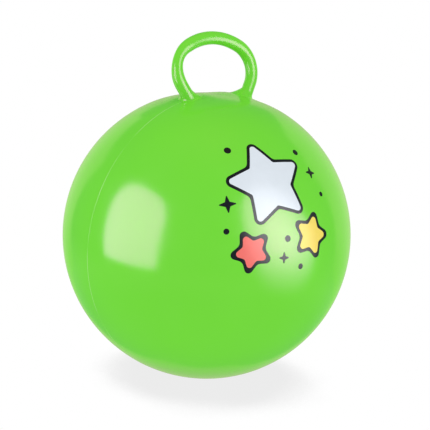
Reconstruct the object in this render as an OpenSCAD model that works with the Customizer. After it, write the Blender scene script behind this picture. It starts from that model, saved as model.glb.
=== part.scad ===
// Hopper ball: a soft hollow ball to sit and bounce on, with a ring handle on top and a plug valve behind.
// The origin lies on the ground under the middle of the ball, and +Z is up.
// The printed front faces -Y, the handle's feet stand along X and the valve looks along +Y.

/* [Ball] */
// Outside diameter of the inflated ball
ball_d = 450; // [350:5:650]
// Wall of the ball
skin_t = 1.2; // [0.8:0.1:4]
// Diameter of the flat that the ball's own weight presses on the ground
patch_d = 72; // [40:1:120]

/* [Handle loop] */
// Outside diameter of the handle's tube
tube_d = 19.5; // [14:0.5:26]
// Wall of the handle's tube
tube_t = 2.2; // [1.2:0.1:4]
// Radius of the wide arc over the top of the loop, at the middle of the tube
loop_top_r = 103; // [80:1:140]
// Radius of the loop's round shoulders, at the middle of the tube
loop_side_r = 43; // [30:1:60]
// Half of the angle that the top arc takes up
loop_top_half_angle = 29.5; // [15:0.5:40]
// Inward slant of the legs below the shoulders
leg_slant = 30.5; // [10:0.5:40]
// Straight length of each leg above its root
leg_l = 11; // [4:0.5:40]
// Lean of the loop towards the back of the ball
handle_lean = 16.5; // [0:0.5:25]

/* [Handle roots] */
// Length of the soft root between the ball and the leg, along the leg
root_l = 11.6; // [8:0.2:25]
// Reach of the root's flare from the tube's wall, on the side between the feet
flare_inner_reach = 18; // [6:0.5:30]
// Reach of the root's flare from the tube's wall, on the outer side
flare_outer_reach = 8; // [4:0.5:20]
// Thickness of the flare's rim on the ball
flare_rim_t = 0.4; // [0.2:0.1:2]

/* [Valve] */
// Diameter of the filling bore
bore_d = 9; // [6:0.5:14]
// Length of the valve's neck, from the ball's surface inwards
neck_l = 20; // [14:0.5:40]
// Wall of the neck round the bore
neck_t = 3; // [1.5:0.25:6]
// Diameter of the valve's round pad where it fills the hole in the ball
pad_d = 28; // [24:0.5:40]
// Thickness of the pad at its middle
pad_t = 5; // [4:0.25:8]
// Width of the welding lip round the pad, inside the ball
lip_w = 6; // [3:0.5:12]
// Depth of the dished seat under the ball's surface
seat_depth = 2.6; // [1.5:0.1:3.5]
// Width of the dish's sloping side
dish_w = 2.2; // [0.5:0.1:3]

/* [Plug] */
// Diameter of the plug's head
head_d = 17; // [12:0.5:18]
// Thickness of the plug's head
head_t = 2.3; // [1.5:0.1:3.5]
// Radius of the head's rounded edge
head_edge_r = 0.9; // [0.3:0.1:1.4]
// Length of the plug's stem under the head
stem_l = 15; // [10:0.5:18]
// Length of the stem's tapered tip
stem_tip_l = 2.5; // [1:0.25:4]
// Diameter of the tip's end
stem_tip_d = 4; // [2:0.25:5]
// Width of each sealing rib on the stem
rib_w = 1.6; // [0.8:0.1:2.5]
// Height of each sealing rib over the stem's core
rib_h = 0.6; // [0.2:0.1:1.5]
// Number of sealing ribs
rib_count = 3; // [2:1:3]

/* [Clearances] */
// Gap between faces that are welded together
weld_gap = 0.1; // [0.05:0.05:0.3]
// Gap between each root and the leg that stands on it
flex_gap = 0.1; // [0.05:0.05:0.3]
// Running gap round the plug's ribs in the bore
stem_gap = 0.05; // [0.02:0.01:0.1]
// Gap between the plug's head and the foot of the dish round it
head_gap = 0.4; // [0.2:0.1:1]
// Gap between the plug's head and its seat
seat_gap = 0.05; // [0.02:0.01:0.2]

/* [Hidden] */
$fn = 96;

// Overrun of every cut
cut = 2;
// Facets of the ball in a preview
ball_fn = 360;
// Length by which the shoulders run into the top arc and the legs, which are thicker by this step
join_l = 1.5;
join_step = 0.05;

ball_r = ball_d / 2;
tube_r = tube_d / 2;
tube_bore_r = tube_r - tube_t;
// Height of the ball's middle over the ground
ball_z = sqrt(pow(ball_r, 2) - pow(patch_d / 2, 2));

// Middle of each shoulder arc and of the top arc, in the plane of the loop;
// Y runs up from the line of the feet
shoulder_x = (loop_top_r - loop_side_r) * sin(loop_top_half_angle);
shoulder_y = (root_l + leg_l) * cos(leg_slant) + loop_side_r * sin(leg_slant);
top_y = shoulder_y - (loop_top_r - loop_side_r) * cos(loop_top_half_angle);

// Where the middle of each leg meets the ball, measured from the ball's middle
foot_x = shoulder_x + loop_side_r * cos(leg_slant) - (root_l + leg_l) * sin(leg_slant);
foot_z = sqrt(pow(ball_r, 2) - pow(foot_x, 2));
foot = [foot_x, 0, foot_z];

// Directions at the right foot: up along the leg, outwards across it and forwards across it
leg_dir = [sin(leg_slant), cos(leg_slant) * sin(handle_lean), cos(leg_slant) * cos(handle_lean)];
out_dir = [cos(leg_slant), -sin(leg_slant) * sin(handle_lean), -sin(leg_slant) * cos(handle_lean)];
front_dir = [0, -cos(handle_lean), sin(handle_lean)];

// Facets of a root's flare: spokes round the leg, steps down the flare and steps across its floor
flare_spokes = 32;
flare_steps = 8;
floor_steps = 4;
// Share of the way from rim to leg over which the flare keeps its direction at either end
flare_hold_share = 0.45;

skin_green = [0.44, 0.84, 0.25];
plug_white = [0.95, 0.95, 0.93];

function unit(v) = v / norm(v);
function across(v, n) = unit(v - (v * n) * n);
function spoke(a) = cos(a) * out_dir + sin(a) * front_dir;

// Reach of the flare over the ball at angle a, where 0 is the outer side
function reach(a) = flare_outer_reach + (flare_inner_reach - flare_outer_reach) * (1 - cos(a)) / 2;

// Direction from the ball's middle to a share of the way out to the flare's rim
function rim_dir(a, way_share) =
    unit(foot + way_share * (tube_r + reach(a)) * across(spoke(a), unit(foot)));

function bezier(p, t) =
    pow(1 - t, 3) * p[0] + 3 * t * pow(1 - t, 2) * p[1] + 3 * pow(t, 2) * (1 - t) * p[2] + pow(t, 3) * p[3];

// A spoke of the flare: it leaves the leg straight down and meets the ball along its surface
function flare_poles(a) =
    let (
        top = foot + root_l * leg_dir + tube_r * spoke(a),
        rim_way = rim_dir(a, 1),
        rim = (ball_r + weld_gap + flare_rim_t) * rim_way,
        hold = flare_hold_share * norm(top - rim)
    )
    [top, top - hold * leg_dir, rim - hold * across(spoke(a), rim_way), rim];

flare_angles = [for (i = [0 : flare_spokes - 1]) 360 * i / flare_spokes];

// Rings of points from the leg down the flare, then inwards over the ball to the middle of the root's floor
root_rings = concat(
    [for (j = [0 : flare_steps]) [for (a = flare_angles) bezier(flare_poles(a), j / flare_steps)]],
    [for (j = [floor_steps : -1 : 1])
        [for (a = flare_angles) (ball_r + weld_gap) * rim_dir(a, j / floor_steps)]]
);
root_points = concat(
    [for (ring = root_rings) each ring],
    [foot + root_l * leg_dir, (ball_r + weld_gap) * unit(foot)]
);
last_ring = len(root_rings) - 1;
top_middle = len(root_points) - 2;
floor_middle = len(root_points) - 1;
function ring_point(j, i) = j * flare_spokes + i % flare_spokes;
root_faces = concat(
    [for (j = [0 : last_ring - 1], i = [0 : flare_spokes - 1])
        [ring_point(j, i), ring_point(j, i + 1), ring_point(j + 1, i + 1)]],
    [for (j = [0 : last_ring - 1], i = [0 : flare_spokes - 1])
        [ring_point(j, i), ring_point(j + 1, i + 1), ring_point(j + 1, i)]],
    [for (i = [0 : flare_spokes - 1]) [top_middle, ring_point(0, i + 1), ring_point(0, i)]],
    [for (i = [0 : flare_spokes - 1]) [floor_middle, ring_point(last_ring, i), ring_point(last_ring, i + 1)]]
);

// The right-hand child and its mirror image
module both_sides() {
    children();
    mirror([1, 0, 0]) children();
}

// Stands the flat drawing of the loop up on the line of the feet, leaning back
module in_loop_plane() {
    translate([0, 0, ball_z + foot_z]) rotate([90 - handle_lean, 0, 0]) children();
}

// The right foot in the loop's flat drawing, with Z up along the leg
module along_leg() {
    translate([foot_x, 0, 0]) rotate([0, 0, -leg_slant]) rotate([-90, 0, 0]) children();
}

// The middle of the ball with Z out through the valve
module at_valve() {
    translate([0, 0, ball_z]) rotate([-90, 0, 0]) children();
}

// The loop as a round bar of radius r, whose legs start at a length along_l above the feet
module loop_bar(r, along_l) {
    join_angle = join_l / loop_side_r * 180 / PI;
    shoulder_angle = 90 - loop_top_half_angle + leg_slant + 2 * join_angle;
    translate([0, top_y, 0]) rotate([0, 0, 90 - loop_top_half_angle])
        rotate_extrude(angle = 2 * loop_top_half_angle) translate([loop_top_r, 0]) circle(r + join_step);
    both_sides() {
        translate([shoulder_x, shoulder_y, 0]) rotate([0, 0, -leg_slant - join_angle])
            rotate_extrude(angle = shoulder_angle) translate([loop_side_r, 0]) circle(r);
        along_leg() translate([0, 0, along_l]) cylinder(h = root_l + leg_l - along_l, r = r + join_step);
    }
}

// The air passage from the ball into the right leg
module leg_bore() {
    in_loop_plane() along_leg() translate([0, 0, -tube_d])
        cylinder(h = tube_d + root_l + cut, r = tube_bore_r);
}

// A ball of radius r about the ball's middle, cut flat at a height floor_z over the ground
module flat_footed_ball(r, floor_z) {
    difference() {
        translate([0, 0, ball_z]) sphere(r, $fn = ball_fn);
        translate([0, 0, floor_z - ball_r]) cylinder(h = ball_r, r = ball_r);
    }
}

module handle_root() {
    difference() {
        translate([0, 0, ball_z]) polyhedron(root_points, root_faces);
        leg_bore();
    }
}

module ball_skin() {
    color(skin_green) difference() {
        flat_footed_ball(ball_r, 0);
        flat_footed_ball(ball_r - skin_t, skin_t);
        both_sides() leg_bore();
        at_valve() translate([0, 0, ball_r - pad_t]) cylinder(h = pad_t + cut, d = pad_d);
    }
}

module handle_root_left() {
    color(skin_green) mirror([1, 0, 0]) handle_root();
}

module handle_root_right() {
    color(skin_green) handle_root();
}

module handle_loop() {
    color(skin_green) in_loop_plane() difference() {
        loop_bar(tube_r, root_l + flex_gap);
        loop_bar(tube_bore_r, root_l);
    }
}

module valve_sleeve() {
    dish_foot_d = head_d + 2 * head_gap;
    dish_mouth_d = dish_foot_d + 2 * dish_w * (seat_depth + cut) / seat_depth;
    color(skin_green) at_valve() difference() {
        union() {
            intersection() {
                sphere(ball_r, $fn = ball_fn);
                translate([0, 0, ball_r - pad_t]) cylinder(h = pad_t, d = pad_d - 2 * weld_gap);
            }
            intersection() {
                sphere(ball_r - skin_t - weld_gap, $fn = ball_fn);
                translate([0, 0, ball_r - pad_t]) cylinder(h = pad_t, d = pad_d + 2 * lip_w);
            }
            translate([0, 0, ball_r - neck_l]) cylinder(h = neck_l - pad_t, d = bore_d + 2 * neck_t);
        }
        translate([0, 0, ball_r - seat_depth])
            cylinder(h = seat_depth + cut, d1 = dish_foot_d, d2 = dish_mouth_d);
        translate([0, 0, ball_r - neck_l - cut]) cylinder(h = neck_l + cut, d = bore_d);
    }
}

// Half of the head's outline, to be turned round the plug's axis
module head_outline() {
    square([head_d / 2 - head_edge_r, head_t]);
    square([head_d / 2, head_t - head_edge_r]);
    translate([head_d / 2 - head_edge_r, head_t - head_edge_r]) circle(head_edge_r);
}

module valve_plug() {
    rib_d = bore_d - 2 * stem_gap;
    core_d = rib_d - 2 * rib_h;
    rib_pitch = (stem_l - stem_tip_l) / rib_count;
    color(plug_white) at_valve() translate([0, 0, ball_r - seat_depth + seat_gap]) {
        rotate_extrude() head_outline();
        translate([0, 0, stem_tip_l - stem_l]) cylinder(h = stem_l - stem_tip_l, d = core_d);
        translate([0, 0, -stem_l]) cylinder(h = stem_tip_l, d1 = stem_tip_d, d2 = core_d);
        for (i = [1 : rib_count]) translate([0, 0, -i * rib_pitch]) cylinder(h = rib_w, d = rib_d);
    }
}

ball_skin();
handle_root_left();
handle_root_right();
handle_loop();
valve_sleeve();
valve_plug();
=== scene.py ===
"""Looks of a hopper ball: a soft blown-vinyl ball with a ring handle, a plug valve and a printed front.

Lengths are in metres, in the packed model's own frame: the ground is z = 0, the printed front faces -Y,
the handle's feet stand along X and the valve looks along +Y.
"""

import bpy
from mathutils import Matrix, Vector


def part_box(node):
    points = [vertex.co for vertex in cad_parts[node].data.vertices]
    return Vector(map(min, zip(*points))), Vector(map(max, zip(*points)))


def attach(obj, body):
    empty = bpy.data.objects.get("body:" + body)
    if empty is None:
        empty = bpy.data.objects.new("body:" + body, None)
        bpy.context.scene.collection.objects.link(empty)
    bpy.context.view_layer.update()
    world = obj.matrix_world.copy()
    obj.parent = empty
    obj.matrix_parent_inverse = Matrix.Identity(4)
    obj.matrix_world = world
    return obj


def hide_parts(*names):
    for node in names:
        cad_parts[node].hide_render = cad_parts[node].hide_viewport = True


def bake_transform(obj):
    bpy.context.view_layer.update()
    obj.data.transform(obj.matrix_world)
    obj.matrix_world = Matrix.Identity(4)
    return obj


bl_info = {
    "name": "Hopper Ball",
    "version": (1, 0, 0),
    "blender": (4, 5, 0),
    "location": "View3D > Sidebar > Hopper Ball",
    "description": "Builds the skin, ring handle, valve, plug and print of a hopper ball in a small studio",
    "category": "Object",
}

import math

import bmesh
import bpy
import numpy as np
from bpy.props import FloatProperty, FloatVectorProperty, IntProperty, PointerProperty
from mathutils import Matrix, Vector
from mathutils.geometry import delaunay_2d_cdt

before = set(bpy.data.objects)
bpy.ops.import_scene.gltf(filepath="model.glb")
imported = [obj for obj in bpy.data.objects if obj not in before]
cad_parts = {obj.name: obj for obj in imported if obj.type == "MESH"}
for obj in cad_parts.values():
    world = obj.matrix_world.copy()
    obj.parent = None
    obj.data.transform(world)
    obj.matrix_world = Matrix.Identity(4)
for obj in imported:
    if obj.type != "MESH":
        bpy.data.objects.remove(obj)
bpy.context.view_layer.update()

# The packed model's box, and the places on it that the looks are built from
SKIN_LO, SKIN_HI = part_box("ball_skin")
SLEEVE_LO, SLEEVE_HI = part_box("valve_sleeve")
PLUG_LO, PLUG_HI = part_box("valve_plug")
BALL_R = (SKIN_HI.x - SKIN_LO.x) / 2
BALL_MIDDLE = np.array((0.0, 0.0, SKIN_HI.z - BALL_R))

# Side of the square picture, in its own pixels, and of the camera's sensor in millimetres
PICTURE_PX = 430
SENSOR_MM = 36.0

# Largest step of an arc, steps of a large circle, and the most that the arc at a corner takes of a side
ARC_STEP = math.radians(15)
CIRCLE_STEPS = 64
CORNER_SHARE = 0.48


# Kinds of setting


def length(name, description, default):
    """A length in metres."""
    return FloatProperty(
        name=name, description=description, default=default, subtype="DISTANCE", unit="LENGTH", precision=5
    )


def angle(name, description, degrees):
    """An angle, given in degrees."""
    return FloatProperty(
        name=name, description=description, default=math.radians(degrees), subtype="ANGLE", unit="ROTATION"
    )


def share(name, description, default):
    """A plain factor."""
    return FloatProperty(name=name, description=description, default=default, subtype="FACTOR", soft_max=1)


def colour(name, description, default):
    """A colour in linear light."""
    return FloatVectorProperty(
        name=name, description=description, default=default, subtype="COLOR", size=3, min=0, max=1
    )


def place(name, description, default):
    """A place on the print, right and up from its middle."""
    return FloatVectorProperty(
        name=name, description=description, default=default, subtype="XYZ_LENGTH", unit="LENGTH", size=2
    )


def count(name, description, default):
    """A number of like things."""
    return IntProperty(name=name, description=description, default=default, min=2)


class BallSizes(bpy.types.PropertyGroup):
    """Sizes of the blown skin."""

    skin_t: length("Wall", "Thickness of the skin", 0.0012)
    hole_d: length("Valve hole", "Diameter of the hole that the valve's pad fills", 0.028)
    hole_edge_r: length("Hole edge", "Rounding of the hole's outer edge", 0.0004)
    seam_w: length("Seam width", "Width of the moulding seam's ridge", 0.0014)
    seam_h: length("Seam height", "Height of the moulding seam's ridge", 0.00010)
    dip_depth: length("Dip", "How far the handle draws the top of the skin flat", 0.0032)
    dip_d: length("Dip width", "Diameter of that flattened top", 0.220)
    rise_h: length("Rise", "How far each foot of the handle draws the skin up", 0.0032)
    rise_d: length("Rise width", "Diameter of the skin drawn up at each foot", 0.090)
    rise_x: length("Rise at", "Distance of its middle from the ball's middle, sideways", 0.040)
    rise_y: length("Rise behind", "Distance of its middle from the ball's middle, towards the valve", 0.015)
    press_ease: length("Foot ease", "How softly the skin bends into the flat on the ground", 0.001)
    steps_round: count("Steps round", "Facets round the valve's axis", 216)
    steps_down: count("Steps down", "Rows of facets from the valve to the front", 112)


class HandleSizes(bpy.types.PropertyGroup):
    """Sizes of the ring handle and of its flared roots."""

    right_leg_d: length("Right leg", "Diameter of the tube where it leaves the right root", 0.0190)
    left_leg_d: length("Left leg", "Diameter of the tube where it leaves the left root", 0.0198)
    top_d: length("Top diameter", "Diameter of the tube at the top of the loop", 0.0202)
    left_waist: length("Left waist", "How much thinner the tube is at the left side of the loop", 0.0034)
    waist_at: share("Waist at", "Place of that waist on the way from the leg to the top", 0.41)
    waist_reach: share("Waist reach", "Reach of that waist to either side, on the same way", 0.27)
    top_r: length("Top arc", "Radius of the wide arc over the top", 0.103)
    shoulder_r: length("Shoulder arc", "Radius of the round shoulders", 0.043)
    top_half_angle: angle("Top half angle", "Half of the angle that the top arc takes up", 29.5)
    leg_slant: angle("Leg slant", "Inward slant of the legs", 30.5)
    leg_l: length("Leg", "Straight length of each leg above its root", 0.011)
    lean: angle("Lean", "Lean of the loop towards the valve side", 16.5)
    root_l: length("Root", "Length of each root, along the leg", 0.0116)
    wide_reach: length("Wide flare", "Reach of the flare on its widest side, inwards and backwards", 0.0185)
    narrow_reach: length("Narrow flare", "Reach of the flare on its narrowest side", 0.004)
    wide_turn: angle("Flare turn", "Turn of its widest side from the loop's outside, past the front", 215)
    rim_hold: share("Rim hold", "Share of its way over which the flare follows the ball", 0.30)
    wide_hold: share("Wide hold", "Share of its way over which its widest side follows the leg", 0.05)
    narrow_hold: share("Narrow hold", "Share of its way over which its narrowest side follows the leg", 0.68)
    rim_sink: length("Rim sink", "How far the flare's rim runs into the skin", 0.0003)
    floor_sink: length("Floor sink", "Depth of the closed floor under the flare", 0.0006)
    seam_w: length("Seam width", "Width of the parting line along the tube", 0.0014)
    seam_h: length("Seam height", "Height of the parting line along the tube", 0.00015)
    bend_from: length("Bend from", "Height over the line of the feet where the bend starts", 0.0052)
    bend_to: length("Bend to", "Height over the line of the feet where the bend ends", 0.020)
    steps_round: count("Steps round", "Facets round the tube", 96)
    step_l: length("Step", "Length of the tube between two rings", 0.002)


class ValveSizes(bpy.types.PropertyGroup):
    """Sizes of the filling neck."""

    bore_d: length("Bore", "Diameter of the filling bore", 0.009)
    neck_t: length("Neck wall", "Wall of the neck round the bore", 0.003)
    pad_d: length("Pad", "Diameter of the pad in the skin's hole", 0.0278)
    pad_t: length("Pad thickness", "Thickness of the pad at its middle", 0.005)
    weld_gap: length("Weld gap", "Gap between the skin and the welding lip", 0.0001)
    seat_depth: length("Seat depth", "Depth of the dished seat", 0.0026)
    head_gap: length("Head gap", "Gap between the plug's head and the foot of the dish", 0.0004)
    dish_w: length("Dish width", "Width of the dish's sloping side", 0.0022)
    bead_w: length("Bead width", "Width of the raised bead round the dish", 0.0012)
    bead_h: length("Bead height", "Height of the raised bead round the dish", 0.0005)
    edge_r: length("Edge", "Rounding of the neck's edges", 0.0004)
    steps_round: count("Steps round", "Facets round the valve", 96)


class PlugSizes(bpy.types.PropertyGroup):
    """Sizes of the stopper."""

    head_t: length("Head", "Thickness of the head", 0.0023)
    head_edge_r: length("Head edge", "Rounding of the head's edge", 0.0009)
    stem_l: length("Stem", "Length of the stem under the head", 0.015)
    tip_l: length("Tip", "Length of the stem's tapered tip", 0.0025)
    tip_d: length("Tip end", "Diameter of the tip's end", 0.004)
    rib_d: length("Rib", "Diameter over the sealing ribs", 0.0089)
    rib_h: length("Rib height", "Height of the ribs over the core", 0.0006)
    rib_w: length("Rib width", "Width of each rib", 0.0016)
    rib_count: count("Ribs", "Number of sealing ribs", 3)
    groove_d: length("Groove", "Diameter of the ring groove in the head", 0.0112)
    groove_w: length("Groove width", "Width of that groove", 0.0009)
    groove_depth: length("Groove depth", "Depth of that groove", 0.0003)
    gate_d: length("Gate mark", "Diameter of the moulding mark in the middle of the head", 0.0018)
    gate_h: length("Gate height", "Height of the moulding mark", 0.0002)
    nick_w: length("Nail nick width", "Width of the nick for a finger nail in the head's edge", 0.006)
    nick_depth: length("Nail nick depth", "Depth of that nick", 0.0012)
    edge_r: length("Edge", "Rounding of the stem's edges", 0.0002)
    steps_round: count("Steps round", "Facets round the plug", 96)


class PrintSizes(bpy.types.PropertyGroup):
    """Place of the print on the ball, and sizes of its stars, sparkles and dots."""

    azimuth: angle("Azimuth", "Turn of the print's middle from the front, towards +X", -10)
    elevation: angle("Elevation", "Height of the print's middle over the ball's middle", 25)
    white_at: place("White star at", "Middle of the large white star", (-0.006, 0.034))
    white_r: length("White star", "Tip radius of the large white star", 0.068)
    white_turn: angle("White star turn", "Turn of the large white star", 12)
    yellow_at: place("Yellow star at", "Middle of the yellow star", (0.060, -0.046))
    yellow_r: length("Yellow star", "Tip radius of the yellow star", 0.034)
    yellow_turn: angle("Yellow star turn", "Turn of the yellow star", -14)
    coral_at: place("Coral star at", "Middle of the coral star", (-0.045, -0.066))
    coral_r: length("Coral star", "Tip radius of the coral star", 0.030)
    coral_turn: angle("Coral star turn", "Turn of the coral star", 26)
    notch: share("Notch", "Radius of a star's notches as a share of its tip radius", 0.52)
    outline_w: length("Outline", "Width of the black line round each star", 0.0048)
    corner_r: length("Corners", "Rounding of the stars' corners", 0.005)
    sparkle_r: length("Sparkle", "Tip radius of the largest sparkle", 0.015)
    sparkle_notch: share("Sparkle notch", "Radius of a sparkle's notches as a share of its tip radius", 0.34)
    dot_d: length("Dot", "Diameter of the largest dot", 0.011)
    ink_t: length("Ink", "Thickness of one layer of ink", 0.0001)
    mesh_step: length("Mesh step", "Distance between the points inside a printed shape", 0.005)


class Finishes(bpy.types.PropertyGroup):
    """Colours and gloss of the vinyl, the stopper and the inks."""

    vinyl: colour("Vinyl", "Green of the skin, the handle and the neck", (0.168, 0.735, 0.037))
    sheen: colour("Vinyl sheen", "Tint of what the green vinyl mirrors", (1.0, 0.20, 0.86))
    # Painted highlight: this paler green along the moulding seam stands in for its ridge catching the light
    seam: colour("Seam", "Paler green where the moulding seam is rubbed", (0.50, 0.88, 0.30))
    vinyl_gloss: share("Vinyl roughness", "Roughness of the vinyl", 0.17)
    stopper: colour("Stopper", "White of the plug", (0.86, 0.86, 0.83))
    black: colour("Black ink", "Black of the outlines, sparkles and dots", (0.005, 0.004, 0.012))
    white: colour("White ink", "White of the large star", (0.73, 0.79, 0.86))
    yellow: colour("Yellow ink", "Yellow of the middle star", (0.91, 0.70, 0.12))
    coral: colour("Coral ink", "Coral of the small star", (0.90, 0.17, 0.15))


class StudioSettings(bpy.types.PropertyGroup):
    """Camera, floor and light."""

    azimuth: angle("Azimuth", "Turn of the camera from the front, towards +X", -39.15)
    elevation: angle("Elevation", "Height of the camera over the ball's middle", 12.61)
    roll: angle("Roll", "Turn of the camera about its own line of sight", 4.61)
    distance: length("Distance", "Distance of the camera from the ball's middle", 2.7)
    lens_mm: FloatProperty(
        name="Lens", description="Focal length in millimetres", default=144.2, subtype="DISTANCE_CAMERA"
    )
    middle_px: FloatVectorProperty(
        name="Middle", description="Pixel of the ball's middle, from the top left",
        default=(206.7, 234.7), size=2
    )
    sky: share("Sky", "Brightness of the white surroundings", 1.12)
    sky_back: share("Sky behind", "Brightness of their dimmest part, behind the ball", 0.42)
    sky_back_rise: angle("Sky behind rise", "Height of that part over the horizon", 25)
    sky_front: share("Sky in front", "Brightness of their part on the camera's side", 0.86)
    floor_r: length("Floor", "Radius of the floor", 12)
    shadow: share("Shadow", "Brightness of the floor in the ball's shadow", 0.835)
    shadow_from: FloatVectorProperty(
        name="Shadow from", description="Way to the light that the shadow falls from",
        default=(0, 0.26, 0.97), subtype="DIRECTION", size=3
    )
    shadow_reach: length("Shadow reach", "Largest height over the floor of what shades it", 1.0)
    room_r: length("Room", "Radius of the room that only the gloss shows", 4)
    wall: colour("Wall", "Light of the middle of the wall behind the ball", (0.62, 0.60, 0.44))
    wall_ends: colour("Wall ends", "Light of the upper part of that wall's two ends", (0.80, 1.0, 0.54))
    wall_foot: colour("Wall foot light", "Light of the lower part of those ends", (0.45, 0.86, 0.28))
    wall_distance: length("Wall distance", "Distance of that wall from the ball's axis", 1.2)
    wall_left: length("Wall left", "Reach of that wall to the camera's left, near the ground", 1.50)
    wall_left_top: length("Wall left top", "Reach of that wall to the camera's left, at its top", 2.00)
    wall_right: length("Wall right", "Reach of that wall to the camera's right", 2.20)
    wall_step: length("Wall step", "Reach of the wall's lower middle to the camera's left", 0.70)
    wall_left_high: length("Wall left height", "Height of the wall's left part", 1.12)
    wall_middle_high: length("Wall middle height", "Height of the wall's middle", 0.90)
    wall_right_high: length("Wall right height", "Height of the wall's right part", 1.60)
    wall_low: length("Wall foot", "Height of the wall's lower edge", -0.50)
    strip_low: length("Strip foot", "Height of the lower end of the strip under the wall", -2.60)
    strip_w: length("Strip width", "Width of that strip", 1.30)
    left_low_w: length("Left foot width", "Width of the left softbox at its foot", 1.52)
    left_high_w: length("Left top width", "Width of the left softbox at its top", 1.80)
    left_h: length("Left height", "Height of the left softbox", 1.84)
    left_slope: length("Left slope", "How much higher its foot is away from the camera", 0.13)
    left_corner_r: length("Left corners", "Rounding of its upper corners", 0.58)
    left_foot_r: length("Left foot corners", "Rounding of its lower corners", 0.058)
    light_distance: length("Light distance", "Distance of each light's plane from the ball's axis", 1.8)
    light_gap: length("Light gap", "How far a light for the handle stands behind the one for the ball", 0.002)
    light_turn: angle("Light turn", "Turn of the lights from the camera, to the left and to the right", 62)
    left_foot: length("Left foot", "Height of its foot over the ground", -0.37)
    left_shift: length("Left shift", "Shift of the left softbox along its plane, towards the camera", 0.155)
    left_light: FloatProperty(name="Left light", description="Brightness of the left softbox", default=8.3)
    right_w: length("Right width", "Width of the round light on the right", 1.84)
    right_h: length("Right height", "Height of that light", 3.05)
    right_foot: length("Right foot", "Height of its foot over the ground", -0.95)
    right_shift: length("Right shift", "Shift of that light along its plane, towards the camera", 0.15)
    right_tilt: share("Right tilt", "Lean of its upper part towards the camera, per length of height", 0.32)
    right_light: FloatProperty(name="Right light", description="Brightness of its middle", default=12.5)
    right_rim: share("Right rim", "Brightness at its rim, as a share of its middle's", 0.5)
    right_soft: share("Right softness", "Softness of its rim at its foot, as a share of its half width", 0.30)
    right_top_soft: share("Right top softness", "Softness of its rim at its top, as a like share", 0.03)
    right_fade: share("Right fade", "Share of its height over which it fades out at its foot", 0.475)
    handle_light: share("Handle light", "Share of each light that reaches the handle", 0.85)
    handle_far: share("Handle far half", "Share of the left light's far half that the handle shows", 0.5)
    handle_fade: share("Handle fade", "Share of the right light's fade that the handle shows", 0.3)
    facing_from: share("Facing from", "How squarely the skin faces a light that starts to show in it", 0.20)
    facing_to: share("Facing to", "How squarely the skin faces a light that shows in it in full", 0.55)


class HopperBallSettings(bpy.types.PropertyGroup):
    """All settings of the hopper ball."""

    ball: PointerProperty(type=BallSizes)
    handle: PointerProperty(type=HandleSizes)
    valve: PointerProperty(type=ValveSizes)
    plug: PointerProperty(type=PlugSizes)
    print: PointerProperty(type=PrintSizes)
    finish: PointerProperty(type=Finishes)
    studio: PointerProperty(type=StudioSettings)


def settings():
    """The scene's own settings."""
    return bpy.context.scene.hopper_ball


# Shapes


def unit(v):
    """Vectors scaled to length 1."""
    return v / np.linalg.norm(v, axis=-1, keepdims=True)


def bell(way):
    """1 at the middle, falling smoothly to 0 where the way out reaches 1 on either side."""
    return np.clip(1 - np.square(way), 0, None) ** 2


def circle_turns(steps):
    """Angles of even steps round a full circle."""
    return np.linspace(0, 2 * math.pi, steps, endpoint=False)


def circle(diameter, steps):
    """A round flat outline."""
    return [diameter / 2 * np.array((math.cos(turn), math.sin(turn))) for turn in circle_turns(steps)]


def pointing(azimuth, elevation):
    """A direction, by its turn from the front towards +X and its height over the horizon."""
    level = math.cos(elevation)
    return np.array((math.sin(azimuth) * level, -math.cos(azimuth) * level, math.sin(elevation)))


def ringed(rings, start=None, end=None):
    """Points and faces of a skin over closed rings of points.

    The ends close on the points start and end, or on each other where both are left out.
    """
    points = [p for ring in rings for p in ring]
    size = len(rings[0])
    wrap = start is None
    faces = []
    for j in range(len(rings) if wrap else len(rings) - 1):
        row = j * size
        following = (j + 1) % len(rings) * size
        for i in range(size):
            k = (i + 1) % size
            faces.append((row + i, row + k, following + k, following + i))
    if not wrap:
        last = (len(rings) - 1) * size
        points += [start, end]
        for i in range(size):
            k = (i + 1) % size
            faces.append((len(points) - 2, k, i))
            faces.append((len(points) - 1, last + i, last + k))
    return points, faces


def rounded(corners, radii, closed=True):
    """A flat outline with an arc at each corner, of one radius or of one each. An open one keeps its ends."""
    corners = [np.array(c, float) for c in corners]
    radii = np.broadcast_to(radii, len(corners))
    outline = []
    for i, corner in enumerate(corners):
        if not closed and i in (0, len(corners) - 1):
            outline.append(corner)
            continue
        before = corners[i - 1] - corner
        after = corners[(i + 1) % len(corners)] - corner
        room = CORNER_SHARE * min(np.linalg.norm(before), np.linalg.norm(after))
        back, ahead = unit(before), unit(after)
        opening = math.acos(max(-1.0, min(1.0, float(back @ ahead))))
        reach = min(radii[i] / math.tan(opening / 2), room)
        radius = reach * math.tan(opening / 2)
        middle = corner + unit(back + ahead) * radius / math.sin(opening / 2)
        first = corner + reach * back - middle
        last = corner + reach * ahead - middle
        sweep = math.pi - opening
        steps = max(1, math.ceil(sweep / ARC_STEP))
        for k in range(steps + 1):
            done = k / steps
            way = math.sin((1 - done) * sweep) * first + math.sin(done * sweep) * last
            outline.append(middle + way / math.sin(sweep))
    return outline


def turned(outline, steps, nick=None):
    """Rings round the valve's axis, from (radius, way out along the axis) pairs.

    nick(radius, out, turn) takes something off the radius.
    """
    turn = circle_turns(steps)
    rings = []
    for radius, out in outline:
        radii = np.full(steps, radius)
        if nick:
            radii = radii - nick(radius, out, turn)
        ring = np.column_stack((radii * np.cos(turn), np.full(steps, out), radii * np.sin(turn)))
        rings.append(ring + BALL_MIDDLE)
    return rings


def new_object(name, points, faces, material):
    """A mesh object in the scene."""
    mesh = bpy.data.meshes.new(name)
    mesh.from_pydata([tuple(p) for p in points], [], faces)
    mesh.materials.append(material)
    thing = bpy.data.objects.new(name, mesh)
    bpy.context.scene.collection.objects.link(thing)
    return thing


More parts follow.
